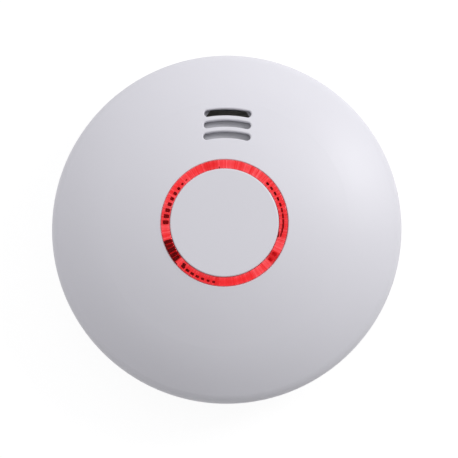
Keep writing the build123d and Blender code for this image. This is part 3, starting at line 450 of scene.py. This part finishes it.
def painted_glow_material():
    """Painted glow: red emission that stands in for light seen through the clear ring, with fine
    streaks that run across the ring.

    The mesh's point attributes say where painted highlight makes the glow paler and painted shade
    makes it deeper."""
    material, tree, shader, place = blank_material(
        "painted_glow_layer", Emission_Strength=1.0, Specular_IOR_Level=0.0
    )
    # Painted highlight and painted shade, read from the mesh's point attributes.
    pale = add(tree, "ShaderNodeAttribute", attribute_name="pale").outputs["Fac"]
    deep = add(tree, "ShaderNodeAttribute", attribute_name="deep").outputs["Fac"]
    fine = spread(tree, streaks_round(tree, place, 46.0), 0.40, 0.66)
    broad = spread(tree, streaks_round(tree, place, 17.0), 0.35, 0.65)
    streak_and_painted_highlight = sums(tree, "MULTIPLY", fine, sums(tree, "MULTIPLY_ADD", pale, 0.95, 0.10))
    streak_and_painted_highlight = sums(tree, "MULTIPLY_ADD", sums(tree, "MULTIPLY", broad, pale), 0.35, streak_and_painted_highlight)
    # Painted highlight: the glow turns pale pink along the streaks where the mesh asks for it.
    glow = blend_colours(tree, streak_and_painted_highlight, (0.72, 0.068, 0.076), (0.80, 0.42, 0.46))
    # Painted shade: the glow falls to dark red where the mesh asks for it, and a little along the
    # fine streaks.
    dark = sums(tree, "MULTIPLY_ADD", sums(tree, "SUBTRACT", 1.0, fine), 0.16, deep)
    glow = blend_colours(tree, dark, glow, (0.20, 0.002, 0.006))
    # Painted glow: this emission takes the place of light that passes through the clear ring.
    feed(tree, glow, shader.inputs["Emission Color"])
    feed(
        tree, blend_colours(tree, streak_and_painted_highlight, (0.26, 0.008, 0.010), (0.34, 0.08, 0.09)),
        shader.inputs["Base Color"],
    )
    feed(tree, spread(tree, broad, 0.0, 1.0, 0.45, 0.6), shader.inputs["Roughness"])
    raise_relief(tree, shader, fine, 0.01 * MM)
    return material


def shaded_pocket_material():
    """Unlit hollows of the ring: near black at depth 1, dark red at depth 0."""
    material, tree, shader, place = blank_material(
        "shaded_pocket", Emission_Strength=1.0, Specular_IOR_Level=0.0
    )
    depth = add(tree, "ShaderNodeAttribute", attribute_name="depth").outputs["Fac"]
    mottle = spread(tree, noise(tree, place, 2400.0, 2.0), 0.3, 0.7, -0.15, 0.15)
    dark = sums(tree, "ADD", depth, mottle)
    feed(
        tree, blend_colours(tree, dark, (0.42, 0.006, 0.012), (0.056, 0.0, 0.001)),
        shader.inputs["Emission Color"],
    )
    feed(
        tree, blend_colours(tree, dark, (0.12, 0.004, 0.005), (0.01, 0.001, 0.001)),
        shader.inputs["Base Color"],
    )
    feed(tree, spread(tree, mottle, -0.15, 0.15, 0.5, 0.7), shader.inputs["Roughness"])
    raise_relief(tree, shader, mottle, 0.01 * MM)
    return material


def sleeve_material():
    """Shrunk film on the cell: deep blue with a plain silver band at the positive end."""
    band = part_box("battery_sleeve")[1].x - SLEEVE_BAND

    def mask(tree, place):
        return sums(tree, "GREATER_THAN", split(tree, place)[0], band)
    return two_part(
        "cell_film", ((0.012, 0.03, 0.12), 0.3, 0.0), ((0.55, 0.55, 0.56), 0.3, 1.0), mask,
        Coat_Weight=0.4,
    )


# ================================================================ surfaces
def mesh_piece(name, points, faces, material, body, slot, **attributes):
    """Object at the origin from an array of points and an array of four-cornered faces.

    Points listed twice in a face are a closed pole. attributes are one value per point."""
    mesh = bpy.data.meshes.new(name)
    points = np.asarray(points, float).reshape(-1, 3)
    mesh.from_pydata(points.tolist(), [], [list(dict.fromkeys(face)) for face in faces.tolist()])
    for label, values in attributes.items():
        layer = mesh.attributes.new(label, "FLOAT", "POINT")
        layer.data.foreach_set("value", np.asarray(values, np.float32).ravel())
    mesh.polygons.foreach_set("use_smooth", np.full(len(mesh.polygons), True))
    mesh.materials.append(material)
    mesh.update()
    piece = bpy.data.objects.new(name, mesh)
    bpy.context.scene.collection.objects.link(piece)
    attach(piece, body)
    return piece


def grid_faces(rows, columns, wrap_rows=False, wrap_columns=False):
    """Faces of a grid of rows by columns points, closed on itself where it wraps."""
    i = np.arange(rows if wrap_rows else rows - 1)[:, None]
    j = np.arange(columns if wrap_columns else columns - 1)[None, :]
    i2, j2 = (i + 1) % rows, (j + 1) % columns
    corners = [i * columns + j, i * columns + j2, i2 * columns + j2, i2 * columns + j]
    return np.stack(np.broadcast_arrays(*corners), -1).reshape(-1, 4)


def round_points(radius, turn, height):
    """Points at these radii, angles in radians and heights round the axis."""
    return np.stack(
        np.broadcast_arrays(radius * np.cos(turn), radius * np.sin(turn), height), -1
    )


def squared_wave(wave):
    """Sine or cosine pushed towards -1 and 1, which squares off a round section."""
    return np.sign(wave) * np.abs(wave) ** (1 / 3)


def soft_span(angle, start, end, edge=1.5):
    """1 inside a span of degrees, falling smoothly to 0 over its edge, with the circle closed."""
    middle, half = (start + end) / 2, (end - start) / 2
    off = np.abs((angle - middle + 180.0) % 360.0 - 180.0)
    t = np.clip((half + edge - off) / (2 * edge), 0.0, 1.0)
    return t * t * (3 - 2 * t)


# Spans of the ring in degrees round the axis from +X, with how much painted highlight makes its
# glow paler and how much painted shade makes it deeper.
PAINTED_HIGHLIGHT_SPANS = (
    (14, 44, 0.20), (46, 98, 0.50), (112, 140, 0.28), (146, 180, 0.30), (183, 198, 0.45),
    (219, 226, 0.35), (300, 321, 0.50), (332, 347, 0.60), (334.5, 338, 0.40), (350, 374, 0.25),
)
PAINTED_SHADE_SPANS = (
    (97, 113, 0.14), (164, 183, 0.10), (198.5, 220, 0.95), (226, 266, 0.16), (321, 331, 0.42),
    (343, 377, 0.12),
)


def painted_glow_layer():
    """Painted glow layer inside the clear ring: an emissive sheet in place of light through the
    ring, carrying painted highlight and painted shade.

    A rounded flat section (a superellipse of power 6 in radius and height) is carried round
    the axis: x = r(v) cos u, y = r(v) sin u, z = z(v)."""
    turns, ring_points = 720, 28
    u = np.linspace(0, 2 * np.pi, turns, endpoint=False)[:, None]
    v = np.linspace(0, 2 * np.pi, ring_points, endpoint=False)[None, :]
    half_width = (RING_OUTER - RING_INNER) / 2 - LAYER_INSET
    radius = (RING_OUTER + RING_INNER) / 2 + half_width * squared_wave(np.cos(v))
    height = RING_TOP - LAYER_DEPTH + LAYER_HALF_HEIGHT * squared_wave(np.sin(v))
    points = round_points(radius, u, height)
    angle = np.degrees(u)
    # Painted highlight and painted shade in spans round the ring.
    pale = sum(level * soft_span(angle, a, b) for a, b, level in PAINTED_HIGHLIGHT_SPANS)
    deep = sum(level * soft_span(angle, a, b) for a, b, level in PAINTED_SHADE_SPANS)
    across = (radius - RING_INNER) / (RING_OUTER - RING_INNER)
    # Painted highlight along the ring's inner and outer rims.
    painted_rim_highlight = 1.1 * np.clip(1 - 2 * across, 0, 1) ** 3 + 0.8 * np.clip(2 * across - 1, 0, 1) ** 4
    pale = np.clip(pale + painted_rim_highlight, 0, 1)
    deep = np.broadcast_to(np.clip(deep, 0, 1), (turns, ring_points))
    return mesh_piece(
        "ring_painted_glow_layer", points, grid_faces(turns, ring_points, True, True)[:, ::-1],
        painted_glow_material(), "detector", "red_light_guide", pale=pale, deep=deep,
    )


# Rows of unlit pockets: first and last angle, count, then width in degrees, inner and outer
# radius in mm and depth of shade, each at the first and at the last pocket of the row.
POCKET_ROWS = (
    (2.2, 13.6, 3, (5.6, 4.6), (19.35, 19.35), (19.98, 19.98), (0.70, 0.70)),
    (19.2, 43.4, 5, (3.9, 3.4), (19.30, 19.10), (19.98, 19.85), (0.85, 0.95)),
    (132.7, 138.5, 2, (2.2, 2.6), (19.00, 18.90), (19.50, 19.60), (0.30, 0.60)),
    (144.4, 162.6, 4, (3.0, 3.6), (18.75, 18.75), (19.65, 20.05), (0.85, 0.78)),
    (168.8, 180.8, 3, (3.9, 4.0), (18.72, 18.72), (20.25, 20.65), (0.76, 0.76)),
    (199.8, 199.8, 1, (3.6, 3.6), (18.70, 18.70), (21.00, 21.00), (0.95, 0.95)),
    (204.2, 204.2, 1, (3.0, 3.0), (18.75, 18.75), (20.95, 20.95), (0.85, 0.85)),
    (208.5, 208.5, 1, (4.2, 4.2), (18.70, 18.70), (21.00, 21.00), (1.00, 1.00)),
    (213.6, 217.8, 2, (3.6, 3.4), (18.75, 18.75), (21.00, 21.00), (0.95, 1.00)),
    (201.1, 221.1, 6, (3.9, 3.9), (20.80, 20.80), (21.05, 21.05), (1.00, 0.90)),
    (227.5, 227.5, 1, (3.6, 3.6), (18.95, 18.95), (19.80, 19.80), (0.90, 0.90)),
    (228.2, 261.2, 7, (4.2, 2.8), (19.70, 19.75), (20.60, 20.50), (0.95, 0.70)),
    (96.6, 96.6, 1, (0.9, 0.9), (18.40, 18.40), (19.00, 19.00), (0.70, 0.70)),
    (347.4, 350.2, 2, (3.2, 3.0), (18.38, 18.40), (18.80, 18.72), (0.85, 0.55)),
    (349.2, 357.8, 3, (4.4, 4.6), (19.05, 19.30), (19.55, 19.92), (0.75, 0.80)),
    (322.6, 329.2, 2, (3.2, 3.2), (18.90, 18.90), (20.40, 20.40), (0.12, 0.12)),
)


def ring_pockets():
    """Unlit pockets that stand in the ring just over its painted glow layer.

    Each is a pillow over s and t from -1 to 1: the plan point is at angle a + w s / 2 and at
    a radius from inner to outer with t, and the height is that of the layer plus
    (1 - s^8)(1 - t^8) of the pillow's own, mirrored below for the underside."""
    rows = []
    for first, last, count, *ends in POCKET_ROWS:
        step = np.linspace(0, 1, count)
        rows.append(
            np.stack([np.linspace(first, last, count)] + [a + (b - a) * step for a, b in ends])
        )
    angle, width, inner, outer, depth = np.concatenate(rows, 1)[:, :, None, None]
    side = np.array([-1.0, -0.93, -0.6, 0.0, 0.6, 0.93, 1.0])
    s, t = np.meshgrid(side, side, indexing="ij")
    bulge = (1 - s**8) * (1 - t**8)
    level = RING_TOP - POCKET_DEPTH
    corner = 0.12 * np.abs(s) ** 4 * np.abs(t) ** 4
    turn = np.radians(angle + width * s * (1 - corner) / 2)
    radius = ((inner + outer) / 2 + (outer - inner) / 2 * t * (1 - corner)) * MM
    sheets = [
        round_points(radius, turn, level + way * POCKET_HALF_HEIGHT * bulge) for way in (1, -1)
    ]
    count, n = len(angle), len(side)
    points = np.stack(sheets, 1).reshape(count, -1, 3)
    upper = grid_faces(n, n)
    one = np.concatenate([upper, upper[:, ::-1] + n * n])
    faces = one[None] + (np.arange(count) * points.shape[1])[:, None, None]
    shade = np.broadcast_to(depth.reshape(count, 1), points.shape[:2])
    piece = mesh_piece(
        "ring_pockets", points, faces.reshape(-1, 4)[:, ::-1], shaded_pocket_material(),
        "detector", "red_light_guide", depth=shade,
    )
    close_seams(piece)
    return piece


def close_seams(piece):
    """Merges points that lie on each other and turns every face outwards."""
    work = bmesh.new()
    work.from_mesh(piece.data)
    bmesh.ops.remove_doubles(work, verts=work.verts, dist=1e-7)
    bmesh.ops.recalc_face_normals(work, faces=work.faces)
    work.to_mesh(piece.data)
    work.free()


def return_spring():
    """Spring under the button, with closed ends.

    A circle of the wire is carried along a helix x = R cos a, y = R sin a whose height eases
    in and out, so that the end turns lie flat; the two end circles shrink to a point."""
    low, high = (corner.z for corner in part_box("button_spring"))
    steps, around = 420, 14
    t = np.linspace(0, 1, steps)[:, None]
    a = 2 * np.pi * SPRING_TURNS * t
    ease = np.clip((t - SPRING_END) / (1 - 2 * SPRING_END), 0, 1)
    flat = SPRING_WIRE * 1.02
    rise = high - low - SPRING_WIRE - 2 * flat
    ends = np.clip(t / SPRING_END, 0, 1) + np.clip((t - 1 + SPRING_END) / SPRING_END, 0, 1)
    z = low + SPRING_WIRE / 2 + ends * flat + rise * ease
    thick = SPRING_WIRE / 2 * np.where((t == 0) | (t == 1), 0.0, 1.0)
    v = np.linspace(0, 2 * np.pi, around, endpoint=False)[None, :]
    radius = SPRING_RADIUS + thick * np.cos(v)
    piece = mesh_piece(
        "button_return_spring", round_points(radius, a, z + thick * np.sin(v)),
        grid_faces(steps, around, False, True),
        metal("spring_wire", (0.50, 0.50, 0.49), (0.30, 0.28, 0.25), 0.25, (1.0, 1.0, 1.0)),
        "detector", "spring_steel",
    )
    close_seams(piece)
    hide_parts("button_spring")
    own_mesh(piece)
    return piece


# ================================================================ finishes of the CAD nodes
def slot_finishes():
    """One material for each material slot of the record."""
    white = (0.725, 0.720, 0.765)
    return {
        "white_housing": plastic(
            "satin_white_shell", white, 0.46, 0.012, 45.0, 2600.0, 0.0035 * MM
        ),
        "white_button": plastic(
            "satin_white_button", white, 0.42, 0.010, 60.0, 3000.0, 0.003 * MM
        ),
        "red_light_guide": ring_material(),
        "zinc_steel": metal("zinc_plate", (0.58, 0.58, 0.57), (0.45, 0.43, 0.36), 0.3),
        "spring_steel": metal("drawn_wire", (0.5, 0.5, 0.49), (0.3, 0.28, 0.25), 0.25),
        "cell_can": metal("cell_can", (0.62, 0.62, 0.61), (0.5, 0.49, 0.46), 0.24),
        "cell_sleeve": sleeve_material(),
        "nickel_contact": metal("nickel_plate", (0.64, 0.61, 0.54), (0.42, 0.37, 0.3), 0.22),
        "green_board": board_material(),
        "solder": metal(
            "solder", (0.6, 0.6, 0.6), (0.36, 0.36, 0.37), 0.2, (1.0, 1.0, 1.0), 700.0
        ),
        "black_package": plastic(
            "black_epoxy", (0.022, 0.022, 0.025), 0.55, 0.3, 300.0, 5000.0, 0.008 * MM, 0.3
        ),
        "capacitor_sleeve": two_part(
            "capacitor", ((0.012, 0.014, 0.022), 0.32, 0.0), ((0.62, 0.62, 0.63), 0.22, 1.0),
            can_top_or_lead, Coat_Weight=0.3,
        ),
        "coil_winding": plastic(
            "coil_varnish", (0.035, 0.028, 0.022), 0.35, 0.4, 400.0, 1800.0, 0.02 * MM, 0.2
        ),
        "bright_can": metal("crystal_can", (0.66, 0.66, 0.67), (0.5, 0.5, 0.5), 0.18),
        "chip_ceramic": chip_row_material(),
        "switch_cap": plastic(
            "switch_cap", (0.02, 0.02, 0.021), 0.5, 0.3, 500.0, 5000.0, 0.006 * MM, 0.2
        ),
        "lamp_package": two_part(
            "lamp_package", ((0.78, 0.77, 0.72), 0.45, 0.0), ((0.75, 0.62, 0.20), 0.15, 0.0),
            above(BOARD_TOP + 1.4 * MM), Coat_Weight=0.5,
        ),
        "dark_clear_epoxy": plastic(
            "tinted_epoxy", (0.02, 0.012, 0.045), 0.12, 0.25, 400.0, 900.0, 0.002 * MM,
            Coat_Weight=0.6,
        ),
        "tinned_sheet": metal("tinned_sheet", (0.62, 0.62, 0.63), (0.45, 0.44, 0.42), 0.28),
        "black_chamber": plastic(
            "chamber_black", (0.012, 0.012, 0.013), 0.62, 0.35, 220.0, 1600.0, 0.03 * MM, 0.12
        ),
        "horn_plastic": plastic(
            "horn_grey", (0.50, 0.50, 0.53), 0.5, 0.05, 120.0, 3000.0, 0.006 * MM, 0.08
        ),
        "brass_disc": metal(
            "rolled_brass", (0.66, 0.45, 0.16), (0.36, 0.22, 0.08), 0.26, (1.0, 30.0, 1.0)
        ),
        "piezo_white": plastic(
            "silvered_ceramic", (0.62, 0.60, 0.55), 0.4, 0.15, 260.0, 2500.0, 0.01 * MM
        ),
        "seal_foam": plastic(
            "closed_foam", (0.02, 0.02, 0.021), 0.85, 0.5, 900.0, 2600.0, 0.10 * MM
        ),
        "label_film": plastic(
            "blank_label_film", (0.74, 0.74, 0.74), 0.36, 0.015, 90.0, 1200.0, 0.002 * MM
        ),
    }


def chip_row_material():
    """Small chip parts: dark ceramic body, with tinned patches from a fine noise."""
    def ends(tree, place):
        return spread(tree, noise(tree, place, 1100.0, 0.0), 0.50, 0.54)
    return two_part(
        "chip_ceramic", ((0.09, 0.065, 0.045), 0.5, 0.0), ((0.58, 0.58, 0.58), 0.3, 1.0), ends
    )


def node_finishes():
    """Materials of single nodes whose metal legs or pins differ from their bodies."""
    black = ((0.022, 0.022, 0.025), 0.55, 0.0)
    tin = ((0.60, 0.60, 0.60), 0.28, 1.0)
    gold = ((0.80, 0.56, 0.22), 0.22, 1.0)
    low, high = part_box("microcontroller")
    driver_low, driver_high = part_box("horn_driver_chip")
    return {
        "microcontroller": two_part(
            "controller_chip", black, tin,
            beyond(0, (low.x + high.x) / 2, (high.x - low.x) / 2 - CHIP_LEAD),
        ),
        "horn_driver_chip": two_part(
            "driver_chip", black, tin,
            beyond(1, (driver_low.y + driver_high.y) / 2,
                   (driver_high.y - driver_low.y) / 2 - CHIP_LEAD),
        ),
        "programming_header": two_part("header", black, gold, above(BOARD_TOP + 2.52 * MM)),
        "test_switch_body": two_part(
            "switch_body", tin, black, above(BOARD_TOP + 1.2 * MM)
        ),
    }


def finish_nodes():
    """Gives every CAD node its procedural material in place of the plain one."""
    by_slot, by_node = slot_finishes(), node_finishes()
    for part in frame["record"]["subparts"]:
        material = by_node.get(part["node"]) or by_slot[part["material_slot"]]
        for place in frame["nodes"][part["node"]].material_slots:
            place.material = material


# ================================================================ studio
def only_seen(tree):
    """1 for rays from the camera, mirrors and glass, 0 for light that falls on things."""
    path = add(tree, "ShaderNodeLightPath").outputs
    seen = sums(tree, "MAXIMUM", path["Is Camera Ray"], path["Is Glossy Ray"])
    return sums(tree, "MAXIMUM", seen, path["Is Transmission Ray"])


def studio_world():
    """Soft light that leans towards the upper right; white to camera, mirrors and glass."""
    world = bpy.data.worlds.new("studio")
    bpy.context.scene.world = world
    world.use_nodes = True
    tree = world.node_tree
    tree.nodes.clear()
    way = add(tree, "ShaderNodeTexCoord").outputs["Generated"]
    lean = add(tree, "ShaderNodeVectorMath", operation="DOT_PRODUCT")
    feed(tree, way, lean.inputs[0])
    lean.inputs[1].default_value = SKY_LEAN
    level = sums(tree, "MAXIMUM", sums(tree, "ADD", lean.outputs["Value"], SKY_LEVEL), 0.0)
    light, white = add(tree, "ShaderNodeBackground"), add(tree, "ShaderNodeBackground")
    feed(tree, level, light.inputs["Strength"])
    light.inputs["Color"].default_value = (1.0, 0.995, 1.02, 1.0)
    white.inputs["Color"].default_value = (1.0, 1.0, 1.0, 1.0)
    mix, output = add(tree, "ShaderNodeMixShader"), add(tree, "ShaderNodeOutputWorld")
    feed(tree, only_seen(tree), mix.inputs[0])
    tree.links.new(light.outputs[0], mix.inputs[1])
    tree.links.new(white.outputs[0], mix.inputs[2])
    tree.links.new(mix.outputs[0], output.inputs[0])


def studio_floor():
    """Pale floor under the ceiling face: white to the camera, and it keeps a faint shadow.

    A wide flat disc: x = r cos a, y = r sin a, with rings closer together near the middle."""
    material = bpy.data.materials.new("pale_floor")
    material.use_nodes = True
    tree = material.node_tree
    tree.nodes.clear()
    pale, faint = add(tree, "ShaderNodeBsdfDiffuse"), add(tree, "ShaderNodeBsdfDiffuse")
    pale.inputs["Color"].default_value = (0.80, 0.80, 0.80, 1.0)
    faint.inputs["Color"].default_value = (0.16, 0.16, 0.16, 1.0)
    glow = add(tree, "ShaderNodeEmission")
    glow.inputs["Strength"].default_value = 0.90
    both, mix = add(tree, "ShaderNodeAddShader"), add(tree, "ShaderNodeMixShader")
    tree.links.new(faint.outputs[0], both.inputs[0])
    tree.links.new(glow.outputs[0], both.inputs[1])
    feed(tree, only_seen(tree), mix.inputs[0])
    tree.links.new(pale.outputs[0], mix.inputs[1])
    tree.links.new(both.outputs[0], mix.inputs[2])
    output = add(tree, "ShaderNodeOutputMaterial")
    tree.links.new(mix.outputs[0], output.inputs[0])
    radius = FLOOR_RADIUS * np.linspace(0, 1, FLOOR_RINGS)[:, None] ** 2
    a = np.linspace(0, 2 * np.pi, FLOOR_SIDES, endpoint=False)[None, :]
    points = round_points(radius, a, cad_low.z).reshape(-1, 3)
    mesh = bpy.data.meshes.new("studio_floor")
    faces = grid_faces(FLOOR_RINGS, FLOOR_SIDES, False, True)
    mesh.from_pydata(points.tolist(), [], faces.tolist())
    mesh.materials.append(material)
    floor = bpy.data.objects.new("studio_floor", mesh)
    bpy.context.scene.collection.objects.link(floor)
    close_seams(floor)


def direction(azimuth, elevation):
    """Unit vector at an azimuth from +X and an elevation, both in degrees."""
    a, e = math.radians(azimuth), math.radians(elevation)
    return Vector((math.cos(a) * math.cos(e), math.sin(a) * math.cos(e), math.sin(e)))


def key_lamp():
    """Soft square lamp over the detector's upper right."""
    lamp = bpy.data.lights.new("key", "AREA")
    lamp.energy, lamp.size = KEY_WATTS, KEY_SIZE
    holder = bpy.data.objects.new("key", lamp)
    back = direction(KEY_AZIMUTH, KEY_ELEVATION)
    holder.location = Vector(VIEW_TARGET) + back * KEY_DISTANCE
    holder.rotation_euler = back.to_track_quat("Z", "Y").to_euler()
    bpy.context.scene.collection.objects.link(holder)


def camera():
    """Camera near the button's axis, a little towards the side away from the sound slots."""
    lens = bpy.data.cameras.new("view")
    lens.lens, lens.sensor_width = LENS, SENSOR
    lens.shift_x, lens.shift_y = VIEW_SHIFT
    lens.clip_start, lens.clip_end = 0.01, 20.0
    back = direction(VIEW_SIDE, 90.0 - VIEW_TILT)
    roll = math.radians(90.0 + VIEW_ROLL)
    up = Vector((math.cos(roll), math.sin(roll), 0.0))
    up = (up - back * up.dot(back)).normalized()
    right = up.cross(back)
    turn = Matrix((right, up, back)).transposed().to_4x4()
    holder = bpy.data.objects.new("view", lens)
    holder.matrix_world = Matrix.Translation(Vector(VIEW_TARGET) + back * VIEW_DISTANCE) @ turn
    bpy.context.scene.collection.objects.link(holder)
    bpy.context.scene.camera = holder


bpy.context.scene.view_settings.view_transform = "Standard"
camera()
studio_world()
studio_floor()
key_lamp()
finish_nodes()
painted_glow_layer()
ring_pockets()
return_spring()
